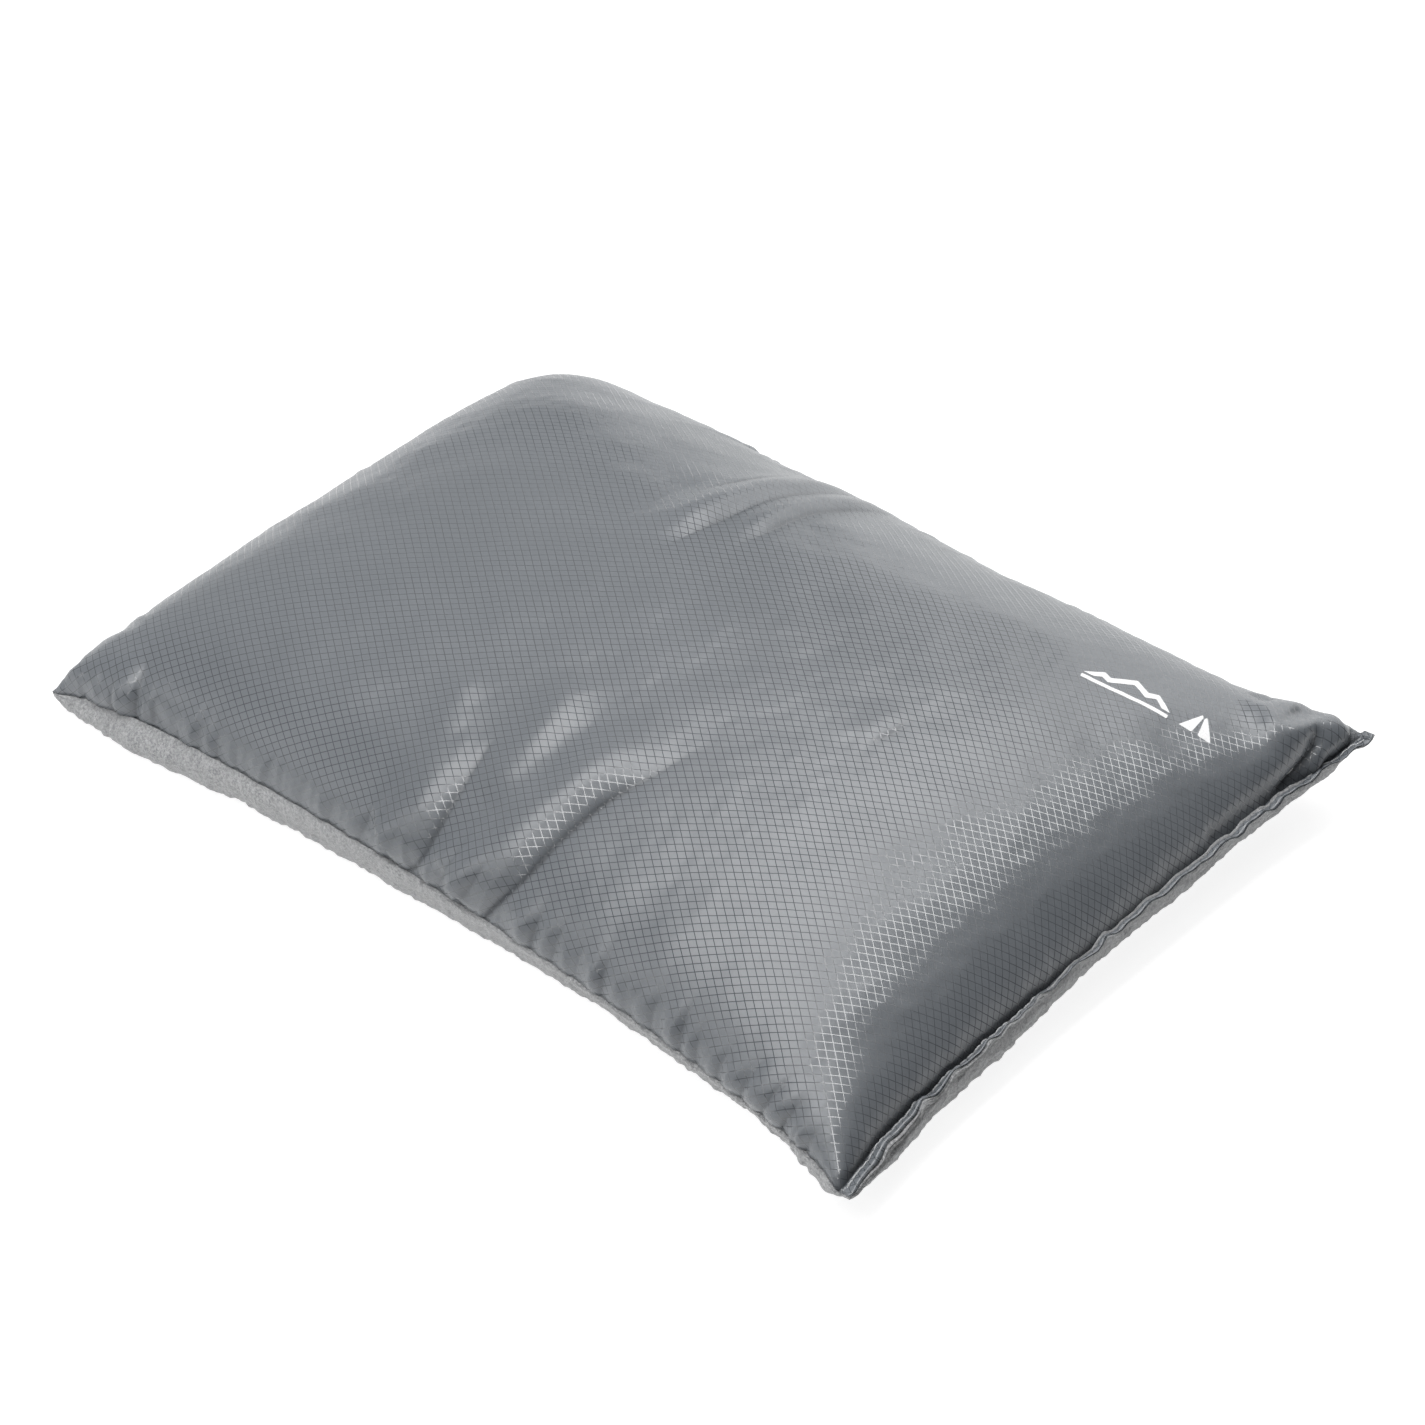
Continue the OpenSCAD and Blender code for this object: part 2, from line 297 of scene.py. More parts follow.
def lumpy(bag):
    """Adds the lumps of the filling, and sets the two back corners and the belly's front."""
    rows, columns = bag.shape[1:3]
    x, y = flat_grid(columns, rows)
    rim = np.minimum(HALF[1] - np.abs(y), HALF[0] - np.abs(x))
    result = bag.copy()
    for side, lumps in ((TOP, TOP_LUMPS), (BOTTOM, BELLY_LUMPS)):
        out = sheet_normals(bag[side]) * (1 if side == TOP else -1)
        if side == TOP:
            share = smooth(0, 0.012, rim)
        else:  # only as far in as the belly hangs free of the table
            share = np.clip(rim / 0.006, 0, 1) * np.clip((0.070 - rim) / 0.040, 0, 1)
            out[..., 2] *= BELLY_SIDEWAYS
        for mid_x, mid_y, reach_x, reach_y, height in lumps:
            near = ((1000 * x - mid_x) / reach_x) ** 2 + ((1000 * y - mid_y) / reach_y) ** 2
            result[side] += out * (share * np.exp(-near) * height * 0.001)[..., None]
    for sign, reach, shift in BACK_CORNERS:
        corner = np.exp(-(((x - sign * HALF[0]) / reach) ** 2) - ((y - HALF[1]) / reach) ** 2)
        result += corner[..., None] * np.array(shift)
    inward = y + HALF[1]
    ends = smooth(-0.12, 0.02, x) * smooth(0, 0.03, HALF[0] - x)
    result[BOTTOM, ..., 1] += BELLY_TUCK * smooth(0.002, 0.012, inward) * smooth(0.050, 0.018, inward) * ends
    result[..., 2] = np.maximum(result[..., 2], 0)
    return result


# ---------------------------------------------------------------- folds and puckers


def smooth_line(path, count=40):
    """Points on a smooth curve through a path given in millimetres."""
    path = np.array(path, float) * 0.001
    path = np.vstack([2 * path[0] - path[1], path, 2 * path[-1] - path[-2]])
    line = []
    for k in range(1, len(path) - 2):
        t = np.linspace(0, 1, max(2, count // (len(path) - 3)), endpoint=False)
        line.append(np.tensordot(cubic_weights(t), path[k - 1 : k + 3], (0, 0)))
    return np.vstack(line + [path[-2:-1]])


def along_and_across(x, y, path, reach):
    """Share of the way along a path, and signed distance to its left, for points within reach."""
    line = smooth_line(path)
    points = np.stack([x.ravel(), y.ravel()], -1)
    low, high = line.min(0) - reach, line.max(0) + reach
    close = np.flatnonzero(np.all((points > low) & (points < high), axis=1))
    near = points[close]
    best = np.full(len(near), 1e9)
    share, across = np.zeros(len(near)), np.zeros(len(near))
    for k in range(len(line) - 1):
        start, way = line[k], line[k + 1] - line[k]
        t = np.clip((near - start) @ way / (way @ way), 0, 1)
        off = near - start - t[:, None] * way
        d = np.hypot(off[:, 0], off[:, 1])
        nearer = d < best
        best[nearer] = d[nearer]
        share[nearer] = (k + t[nearer]) / (len(line) - 1)
        across[nearer] = (np.sign(way[0] * off[:, 1] - way[1] * off[:, 0]) * d)[nearer]
    return close, share, across


def fade(share, tails):
    """1 along a fold, and down to 0 over its two tails, which are shares of its length."""
    return smooth(0, tails[0], share) * smooth(1, 1 - tails[1], share)


def crease(x, y, path, width, ridge, valley, tails):
    """A fold: a sharp crease along a path, and on the left of it a straight flank up to a round ridge.

    The valley is narrow on the flank's side, and a soft slope on the other. All across is in widths.
    """
    reach, foot, crest, knee = 3.5, 3.4, 1.3, 0.7
    blunt, steep, soft = 0.12, 5.5, 1.6
    close, share, across = along_and_across(x, y, path, 0.001 * width * reach)
    t = across / (0.001 * width)
    flank = np.clip(t, 0, crest)
    rise = flank - np.maximum(flank - knee, 0) ** 2 / (2 * (crest - knee))
    rise *= np.where(t > crest, 0.5 + 0.5 * np.cos(math.pi * (t - crest) / (foot - crest)), 1) * (t < foot)
    near = np.hypot(t, blunt) - blunt
    drop = np.where(t > 0, np.exp(-steep * near), np.exp(-soft * near) * smooth(reach, 2, np.abs(t)))
    height = (ridge * rise - valley * drop) * fade(share, tails)
    total = np.zeros(x.size)
    total[close] = 0.001 * height
    return total.reshape(x.shape)


def swell(x, y, path, width, height, tails=(0.3, 0.3)):
    """A rounded ridge along a path, or a rounded valley where the height is negative."""
    close, share, across = along_and_across(x, y, path, 0.001 * width * 3)
    bell = np.exp(-((across / (0.001 * width)) ** 2)) * fade(share, tails)
    total = np.zeros(x.size)
    total[close] = 0.001 * height * bell
    return total.reshape(x.shape)


def puckers(x, y, rng, edges, reach, height, spacing, widths=(0.0016, 0.0038)):
    """Short ridges that run in from a seam at uneven distances, each with a valley beside it."""
    valley, beside = 0.6, 1.8  # its depth to the ridge's height, and how many widths it lies to the side
    total = np.zeros_like(x)
    for axis, sign in edges:
        along, inward = (x, HALF[1] - sign * y) if axis == 1 else (y, HALF[0] - sign * x)
        half = HALF[0] if axis == 1 else HALF[1]
        place = -half + spacing
        while place < half - spacing / 2:
            width = rng.uniform(*widths)
            length = reach * rng.uniform(0.4, 1.3)
            tall = height * rng.uniform(0.2, 1.0)
            slant, bow = rng.uniform(-0.35, 0.35), rng.uniform(-8, 8)
            off = along - place - slant * inward - bow * inward**2
            profile = np.exp(-((off / width) ** 2))
            profile -= valley * np.exp(-(((off - beside * width) / width) ** 2))
            total += tall * profile * np.exp(-((inward / length) ** 1.6))
            place += spacing * rng.uniform(0.5, 1.5)
    return total


def waves(x, y, rng, size, count=40):
    """A gentle random relief of about unit height, made of waves near one wavelength."""
    total = np.zeros_like(x)
    for _ in range(count):
        angle = rng.uniform(0, math.pi)
        length = size * rng.uniform(0.7, 1.6)
        phase = rng.uniform(0, 2 * math.pi)
        total += np.sin(2 * math.pi * (x * math.cos(angle) + y * math.sin(angle)) / length + phase)
    return total / math.sqrt(count / 2)


# Each fold is its path, width, ridge and valley in millimetres on the flat top panel, and then its tails,
# over which it fades in and out, as shares of its length. Many points of these folds and swells come from
# strokes read off the photo, which a scratch program turned into places on the panel, and the rest by hand.
LONG_FOLDS = [
    ([(19, -158), (31, -135), (35, -115), (39, -92), (45, -72), (50, -42)], 11.0, 4.2, 1.1, (0.02, 0.45)),
    ([(-21, -158), (-13, -148), (-11, -137), (-11, -126), (-14, -102), (-16, -92)],
     10.0, 3.9, 0.9, (0.02, 0.5)),
    ([(-38, 8), (-36, 37), (-35, 57), (-35, 76), (-35, 99), (-32, 124), (-25, 147)],
     8.0, 3.0, 0.5, (0.25, 0.40)),
    ([(-19, 34), (-18, 57), (-19, 81), (-17, 100), (-15, 124), (-14, 141)], 6.5, 2.4, 0.4, (0.25, 0.45)),
    ([(-57, 50), (-54, 72), (-52, 100), (-54, 132)], 7.0, 0.8, 0.5, (0.4, 0.5)),
    ([(91, -18), (94, -2), (95, 14)], 5.0, 0.5, 0.4, (0.4, 0.4)),
    ([(204, 92), (203, 108), (199, 121), (194, 130), (187, 137)], 9.0, 1.6, 3.6, (0.35, 0.25)),
]  # fmt: skip
# The same without tails, and with x alone for the first point, which is always just past the front seam
SHORT_FOLDS = [
    (-6, (1, -145), (5, -126), 4.4, 2.5, 0.5), (7, (15, -143), (18, -126), 4.4, 2.5, 0.6),
    (-32, (-26, -147), (-23, -132), 4.1, 1.8, 0.4), (44, (45, -145), (45, -130), 4.4, 3.0, 0.7),
    (54, (56, -144), (55, -130), 3.9, 1.5, 0.4), (66, (67, -148), (66, -138), 3.9, 1.2, 0.2),
    (80, (79, -145), (76, -130), 3.6, 2.5, 0.6), (92, (91, -148), (90, -138), 3.6, 0.8, 0.2),
    (105, (104, -148), (104, -134), 3.4, 1.5, 0.4), (119, (118, -143), (115, -129), 3.6, 2.4, 0.6),
    (128, (126, -148), (125, -134), 3.0, 1.5, 0.4), (137, (138, -150), (139, -138), 3.0, 1.8, 0.5),
    (149, (151, -148), (153, -134), 4.1, 3.0, 0.8), (159, (163, -146), (166, -130), 4.3, 3.3, 0.8),
    (169, (172, -148), (176, -134), 4.3, 3.0, 0.8), (182, (184, -151), (185, -138), 3.9, 2.4, 0.7),
    (-178, (-177, -149), (-180, -132), 5.3, 3.4, 0.8), (-166, (-166, -143), (-169, -122), 5.7, 4.1, 0.9),
    (-157, (-156, -148), (-155, -138), 3.4, 1.8, 0.4), (-144, (-143, -150), (-143, -142), 3.4, 1.2, 0.2),
    (-132, (-131, -150), (-130, -134), 4.1, 2.5, 0.6), (-122, (-121, -152), (-122, -138), 3.9, 2.5, 0.6),
    (-112, (-111, -152), (-111, -142), 3.2, 1.4, 0.3), (-96, (-94, -150), (-93, -140), 3.4, 1.2, 0.2),
    (-78, (-77, -150), (-76, -142), 3.2, 0.8, 0.2), (-62, (-60, -150), (-58, -138), 3.7, 1.5, 0.3),
    (-46, (-42, -148), (-40, -134), 3.7, 2.0, 0.4),
]  # fmt: skip
SEAM_FOLDS = [([(x, -158), a, b], *sizes, (0.08, 0.8)) for x, a, b, *sizes in SHORT_FOLDS]
# Each swell is its path, width and height in millimetres, and its tails where they aren't the usual ones.
SWELLS = [
    ([(0, -120), (-1, -98), (-5, -72), (-12, -50)], 8.5, 2.0),
    ([(12, -112), (13, -90), (10, -66)], 6.5, -0.9),
    ([(-32, -106), (-38, -92), (-46, -74)], 7.5, 1.5),
    ([(-205, -150), (-200, -142), (-192, -134)], 5.0, -0.8),
    ([(158, 124), (173, 123), (182, 120), (188, 125), (191, 138), (196, 152)], 4.6, 2.0),
    ([(160, 134), (166, 133), (171, 132)], 3.2, -1.8),
    ([(178, 134), (184, 136), (190, 146)], 5.0, -2.4),
    ([(202, 20), (201, 80), (198, 110), (193, 136)], 5.0, -1.6, (0.4, 0.1)),
    ([(203, 146), (203, 140), (202, 134)], 3.0, -1.2),
]
# Each edge of the bag: its axis, x or y, and its side
CLOSING, FRONT, BACK, LEFT = (0, 1), (1, -1), (1, 1), (0, -1)


def top_relief(x, y):
    """How far the top panel's folds, swells, puckers and waves stand out from the simulated cloth."""
    relief = sum(crease(x, y, *f) for f in LONG_FOLDS) + sum(crease(x, y, *f) for f in SEAM_FOLDS)
    relief += sum(swell(x, y, *f) for f in SWELLS)
    rng = np.random.default_rng(RANDOM_SEED)
    fine = (0.0010, 0.0022)
    relief += puckers(x, y, rng, (FRONT,), reach=0.012, height=0.0006, spacing=0.0055, widths=fine)
    relief += puckers(x, y, rng, (CLOSING,), reach=0.013, height=0.0011, spacing=0.011)
    relief += puckers(x, y, rng, (BACK, LEFT), reach=0.018, height=0.0012, spacing=0.010)
    rng = np.random.default_rng(RANDOM_SEED + 3)
    for height, size in ((0.00015, 0.034), (0.00004, 0.009)):
        relief += height * waves(x, y, rng, size)
    return relief


def bottom_relief(x, y):
    """How far the fleece's puckers, waves and pile stand out. The pile is pressed at the seams."""
    pile, pressed = 0.0009, 0.0015
    rng = np.random.default_rng(RANDOM_SEED + 1)
    relief = puckers(x, y, rng, (CLOSING, FRONT, BACK, LEFT), reach=0.020, height=0.0009, spacing=0.017)
    for height, size in ((0.00025, 0.030), (0.00012, 0.007), (0.00022, 0.0045)):
        relief += height * waves(x, y, rng, size)
    relief += pile * (1 - np.exp(-np.minimum(HALF[1] - np.abs(y), HALF[0] - np.abs(x)) / pressed))
    return relief


def edge_wobble(y):
    """A ripple of about unit height along the flat stitched edge."""
    usual = 1.9  # height of so many waves together
    rng = np.random.default_rng(RANDOM_SEED + 5)
    total = np.zeros_like(y)
    for _ in range(14):
        height, length, phase = rng.uniform(0.4, 1.0), rng.uniform(0.007, 0.024), rng.uniform(0, 6.3)
        total += height * np.sin(2 * math.pi * y / length + phase)
    return total / usual


def lay_flange(grids):
    """Lays the flat stitched edge outward from its root. It rises, and ripples along its length."""
    columns = grids.shape[2]
    step = FLAT_L / (columns - 1)
    flat_columns = max(2, round(FLANGE / step) + 1)
    result = grids.copy()
    y = np.linspace(-HALF[1], HALF[1], grids.shape[1])
    slope, ripple, flatter, end_reach = math.radians(47), math.radians(7), 0.7, 0.030
    near_end = np.exp(-(((np.abs(y) - HALF[1]) / end_reach) ** 2))
    rise = slope * (1 - flatter * near_end) + ripple * edge_wobble(y)
    root = result[:, :, -flat_columns].copy()
    root[..., 2] += 0.0003 * edge_wobble(y + 0.003)
    way = np.stack([np.cos(rise), np.zeros_like(y), np.sin(rise)], -1)
    for k in range(flat_columns):
        result[:, :, columns - flat_columns + k] = root + way * (k * step)
    return result


# ---------------------------------------------------------------- meshes


def new_object(name, points, faces, smooth_shading=True):
    """A mesh object in the scene."""
    mesh = bpy.data.meshes.new(name)
    mesh.from_pydata(np.asarray(points).tolist(), [], [tuple(map(int, f)) for f in faces])
    mesh.validate()
    if smooth_shading:
        mesh.polygons.foreach_set("use_smooth", [True] * len(mesh.polygons))
    mesh.update()
    obj = bpy.data.objects.new(name, mesh)
    bpy.context.scene.collection.objects.link(obj)
    return obj


def border(columns, rows):
    """Indices of a grid's border, anticlockwise seen from above."""
    return np.array(
        list(range(columns - 1))
        + [j * columns + columns - 1 for j in range(rows - 1)]
        + [(rows - 1) * columns + i for i in range(columns - 1, 0, -1)]
        + [j * columns for j in range(rows - 1, 0, -1)]
    )


def grid_quads(columns, rows, first=0):
    """Quads of a grid, anticlockwise from above."""
    index = first + np.arange(columns * rows).reshape(rows, columns)
    return np.stack([index[:-1, :-1], index[:-1, 1:], index[1:, 1:], index[1:, :-1]], -1).reshape(-1, 4)


def strip_quads(outer, inner):
    """Quads between two loops of as many points. They face out where the inner loop is the lower one."""
    return np.stack([outer, inner, np.roll(inner, -1), np.roll(outer, -1)], -1)


def coarse_strip(outer, inner):
    """Triangles between a loop and one of half as many points."""
    faces, count = [], len(inner)
    for k in range(count):
        a, b, c = outer[2 * k], outer[2 * k + 1], outer[(2 * k + 2) % len(outer)]
        p, q = inner[k], inner[(k + 1) % count]
        faces += [(a, p, b), (b, p, q), (b, q, c)]
    return faces


def painted_shade_depth(x, y):
    """Painted shade, from 0 to 1: how deep a point lies in a fold or beside the stitched edge, where the top
    panel's colour is darkened.
    """
    reach, beside, groove_width = 0.006, 0.0002, 0.0042
    deep = np.zeros(x.size)
    # Painted shade along the crease of each fold.
    for folds, depth, wide in ((LONG_FOLDS, 0.7, 0.0012), (SEAM_FOLDS, 0.5, 0.0010)):
        for path, _, _, valley, tails in folds:
            close, share, across = along_and_across(x, y, path, reach)
            line = np.exp(-(((across - beside) / wide) ** 2)) * fade(share, tails) * min(1, valley)
            deep[close] = np.maximum(deep[close], depth * line)
    # Painted shade along the groove beside the stitched edge.
    edge = HALF[0] - x.ravel() - FLANGE
    groove = np.exp(-((np.abs(edge) / groove_width) ** 1.5)) * smooth(-beside, 3 * beside, edge)
    return np.maximum(deep, groove).reshape(x.shape)


class Bag:
    """The simulated bag, read at any flat position."""

    def __init__(self, grids):
        self.grids = grids = lay_flange(grids)
        self.middle = grids.mean(0)
        self.normals = [sheet_normals(grids[TOP]), -sheet_normals(grids[BOTTOM])]

    def outer(self, side, x, y):
        """The cloth's outer face, with its relief and thickness, and its normals."""
        normal = unit(sample(self.normals[side], x, y))
        face = sample(self.grids[side], x, y) + normal * self.lift(side, x, y)[..., None]
        if side == BOTTOM:  # never below the table, with a soft turn on to it
            turn = 0.0006
            face[..., 2] = 0.5 * (face[..., 2] + np.sqrt(face[..., 2] ** 2 + turn**2))
        return face, normal

    def lift(self, side, x, y):
        """Height of the outer face over the simulated cloth, by its thickness and its relief."""
        # On the stitched edge the ripstop is doubled and the fleece is pressed. Seams hold the relief down.
        thick, added = (RIPSTOP_T, 0.9) if side == TOP else (FLEECE_T, -0.2)
        at_seam, on_edge = 0.35, 0.25
        edge = HALF[0] - x
        layers = 1 + added * smooth(FLANGE + 0.002, FLANGE, edge)
        relief = top_relief(x, y) if side == TOP else bottom_relief(x, y)
        inward = np.minimum(HALF[1] - np.abs(y), HALF[0] - np.abs(x))
        free = at_seam + (1 - at_seam) * smooth(0, 0.005, inward)
        flat = smooth(FLANGE, FLANGE + 0.006, edge)
        return thick * layers + relief * free * (on_edge + (1 - on_edge) * flat)

    def inside(self, x, y, inset, lift):
        """A point on the bag's middle surface, inset from the rim point at x, y."""
        at = sample(self.middle, x * (1 - inset / HALF[0]), y * (1 - inset / HALF[1]))
        at[..., 2] += lift
        return at


COLUMNS, ROWS = 561, 173  # points of a panel's outer face. Its inner face has every other one.


def panel(name, bag, side):
    """A panel of cloth as a closed thin shell, folded in by its seam allowance on all four sides."""
    thick = RIPSTOP_T if side == TOP else FLEECE_T
    up = 1 if side == TOP else -1
    x, y = flat_grid(COLUMNS, ROWS)
    face, normal = bag.outer(side, x, y)
    back = (face - normal * thick)[::2, ::2]
    rim = border(COLUMNS, ROWS)
    rx, ry = x.ravel()[rim], y.ravel()[rim]
    gap = up * 0.00005
    # The folded-in allowance: its four corners in section, as inset and height over the bag's middle
    levels = [(0, gap), (ALLOWANCE, gap), (ALLOWANCE, gap + up * thick), (thick, gap + up * thick)]
    loops = [bag.inside(rx, ry, inset, lift) for inset, lift in levels]
    half_columns, half_rows = (COLUMNS + 1) // 2, (ROWS + 1) // 2
    back_first = COLUMNS * ROWS
    back_last = back_first + half_columns * half_rows
    points = np.concatenate([face.reshape(-1, 3), back.reshape(-1, 3)] + loops)
    ids = [back_last + k * len(rim) + np.arange(len(rim)) for k in range(len(loops))]
    back_rim = back_first + border(half_columns, half_rows)
    faces = [grid_quads(COLUMNS, ROWS), grid_quads(half_columns, half_rows, back_first)[:, ::-1]]
    faces += [strip_quads(a, b) for a, b in zip([rim] + ids[:-1], ids)]
    faces = [tuple(f) for group in faces for f in group] + coarse_strip(ids[-1], back_rim)
    if side == BOTTOM:
        faces = [f[::-1] for f in faces]
    obj = new_object(name, points, faces)
    flat = np.zeros((len(points), 3), np.float32)
    flat[:back_first, :2] = np.stack([x.ravel(), y.ravel()], -1)
    flat[back_first:back_last, :2] = np.stack([x[::2, ::2].ravel(), y[::2, ::2].ravel()], -1)
    for loop, (inset, _) in zip(ids, levels):
        flat[loop, :2] = np.stack([rx * (1 - inset / HALF[0]), ry * (1 - inset / HALF[1])], -1)
    attribute = obj.data.attributes.new("flat", "FLOAT_VECTOR", "POINT")
    attribute.data.foreach_set("vector", flat.ravel())
    if side == TOP:
        # Painted shade of folds and of the groove beside the stitched edge, stored for the material.
        deep = np.zeros(len(points), np.float32)
        deep[:back_first] = painted_shade_depth(x, y).ravel()
        obj.data.attributes.new("painted_shade", "FLOAT", "POINT").data.foreach_set("value", deep)
    return obj


def fibre_fill(bag):
    """The loose filling: a crowned, clumpy form that fills the bag up to its seam allowances."""
    columns, rows = 181, 135
    gap, clump, lowest, bulge_out = 0.0008, 0.0006, 0.0016, 1.004
    x, y = flat_grid(columns, rows)
    inset = ALLOWANCE + 0.003
    x, y = x * (1 - inset / HALF[0]), y * (1 - inset / HALF[1])
    rng = np.random.default_rng(RANDOM_SEED + 2)
    skins = []
    for side in (TOP, BOTTOM):
        thick = RIPSTOP_T if side == TOP else FLEECE_T
        face, normal = bag.outer(side, x, y)
        clumps = clump * np.clip(1 + 0.6 * waves(x, y, rng, 0.016) + 0.4 * waves(x, y, rng, 0.006), 0, 4)
        skins.append(face - normal * (thick + gap + clumps)[..., None])
    rim, count = border(columns, rows), columns * rows
    upper, lower = skins[0].reshape(-1, 3), skins[1].reshape(-1, 3)
    lower[:, 2] = np.maximum(lower[:, 2], lowest)
    bulge = []
    for share in (0.35, 0.65):  # of the way down the rim
        mid = upper[rim] * (1 - share) + lower[rim] * share
        bulge.append(mid * [bulge_out, bulge_out, 1])
    loops = [rim, 2 * count + np.arange(len(rim)), 2 * count + len(rim) + np.arange(len(rim)), count + rim]
    faces = [grid_quads(columns, rows), grid_quads(columns, rows, count)[:, ::-1]]
    faces += [strip_quads(a, b) for a, b in zip(loops, loops[1:])]
    return new_object("fibre_fill_batt", np.concatenate([upper, lower] + bulge), np.concatenate(faces))


def plied_thread(name, path, thickness, pitch, sides=8):
    """A two-ply twisted thread along a path: a closed tube whose section is two lobes that turn."""
    lobe = 0.26  # how far the two lobes stand out, as a share of the radius
    way = unit(np.gradient(path, axis=0))
    across = unit(np.cross(way, np.broadcast_to([0.0, 0.0, 1.0], way.shape)))
    above = np.cross(across, way)
    run = np.concatenate([[0], np.cumsum(np.linalg.norm(np.diff(path, axis=0), axis=1))])
    turn = 2 * math.pi * run / pitch
    angle = np.linspace(0, 2 * math.pi, sides, endpoint=False)
    lobes = 0.5 * thickness * (1 - lobe + lobe * np.cos(2 * (angle[None] - turn[:, None])))
    ring = path[:, None] + lobes[..., None] * (
        np.cos(angle)[None, :, None] * across[:, None] + np.sin(angle)[None, :, None] * above[:, None]
    )
    points = np.concatenate([ring.reshape(-1, 3), path[:1], path[-1:]])
    ids = np.arange(len(path) * sides).reshape(len(path), sides)
    near, far = len(points) - 2, len(points) - 1
    faces = []
    for a, b in zip(ids, ids[1:]):
        faces += [(a[k], a[(k + 1) % sides], b[(k + 1) % sides], b[k]) for k in range(sides)]
    faces += [(near, ids[0][(k + 1) % sides], ids[0][k]) for k in range(sides)]
    faces += [(far, ids[-1][k], ids[-1][(k + 1) % sides]) for k in range(sides)]
    return new_object(name, points, faces)


def closing_thread(name, bag, side):
    """Lockstitch on the flat edge of the closing end. A stitch lies on the cloth and dips at its holes."""
    from_end, in_from_edge, hump, sunk = 0.003, 0.62 * FLANGE, 0.00075, 0.00045
    seam = FLAT_W - 2 * from_end
    stitches, per_stitch = round(seam / STITCH), 12
    t = np.linspace(0, stitches, stitches * per_stitch + 1)
    y = -FLAT_W / 2 + from_end + t * seam / stitches
    wander = 0.00025 * np.sin(2 * math.pi * y / 0.071) + 0.00015 * np.sin(2 * math.pi * y / 0.023 + 1)
    x = HALF[0] - in_from_edge + wander
    in_stitch = t - np.floor(t)
    rise = hump * (np.abs(np.sin(math.pi * in_stitch)) ** 0.45) - sunk
    face, normal = bag.outer(side, x, y)
    return plied_thread(name, face + normal * rise[:, None], thickness=0.0008, pitch=0.0019)


def turned_thread(name, bag, side):
    """The thread of the three turned seams. It runs inside, just in from the fold, and doesn't show."""
    step, in_from_fold = 0.0009, 0.001
    up = 1 if side == TOP else -1
    a, b = HALF - in_from_fold
    corners = [(a, -b), (-a, -b), (-a, b), (a, b)]
    line = []
    for (x0, y0), (x1, y1) in zip(corners, corners[1:]):
        count = int(math.hypot(x1 - x0, y1 - y0) / step)
        t = np.linspace(0, 1, count, endpoint=False)[:, None]
        line.append(np.array([x0, y0]) * (1 - t) + np.array([x1, y1]) * t)
    line = np.concatenate(line + [[corners[-1]]])
    at = sample(bag.middle, line[:, 0], line[:, 1])
    run = np.arange(len(line)) * step / STITCH
    at[:, 2] += up * (0.0004 + 0.00022 * np.abs(np.sin(math.pi * run)))
    return plied_thread(name, at, thickness=0.0004, pitch=0.0015, sides=6)


def print_outlines():
    """Generic camping mark in millimetres: a ridge of hills over a ground line, and a tent beside it."""
    hills = [(-28, -2.4), (-21, 3.0), (-18, 1.2), (-9, 7.2), (-3, 2.6), (1, 4.4), (8, -2.4), (4.4, -2.4),
             (1, 1.2), (-3, -1.0), (-9, 3.6), (-18, -2.2), (-21, -0.4), (-23.8, -2.4)]  # fmt: skip
    ground = [(-28, -6.0), (8, -6.0), (8, -4.0), (-28, -4.0)]
    tent_left = [(13, -5.2), (18.6, -5.2), (19.6, 4.6), (18.8, 5.8)]
    tent_right = [(21.2, -5.2), (27, -5.2), (20.8, 5.8), (20.1, 4.4)]
    return [hills, ground, tent_left, tent_right]


def soft_outline(corners, radius=0.45, pieces=4):
    """Rounds the corners of an outline a little, as a screen print does."""
    points = []
    for k, here in enumerate(np.array(corners, float)):
        before, after = np.array(corners[k - 1], float), np.array(corners[(k + 1) % len(corners)], float)
        start, stop = here + radius * unit(before - here), here + radius * unit(after - here)
        for t in np.linspace(0, 1, pieces):
            points.append(start * (1 - t) ** 2 + 2 * here * t * (1 - t) + stop * t**2)
    return np.array(points)


def inside_outline(point, outline, margin=0.25):
    """True if a point lies inside an outline and at least margin away from its corners."""
    following = np.roll(outline, -1, axis=0)
    if np.min(np.linalg.norm(outline - point, axis=1)) < margin:
        return False
    cross = (outline[:, 1] > point[1]) != (following[:, 1] > point[1])
    with np.errstate(divide="ignore", invalid="ignore"):
        at = outline[:, 0] + (point[1] - outline[:, 1]) * (following[:, 0] - outline[:, 0]) / (
            following[:, 1] - outline[:, 1]
        )
    return bool(np.sum(cross & (point[0] < at)) % 2)


PRINT_AT = (0.1435, 0.0905)  # its origin on the flat panel
PRINT_TURN = math.radians(16)
PRINT_T = 0.00007
PRINT_SUNK = 0.00004  # depth of its lower face in the cloth


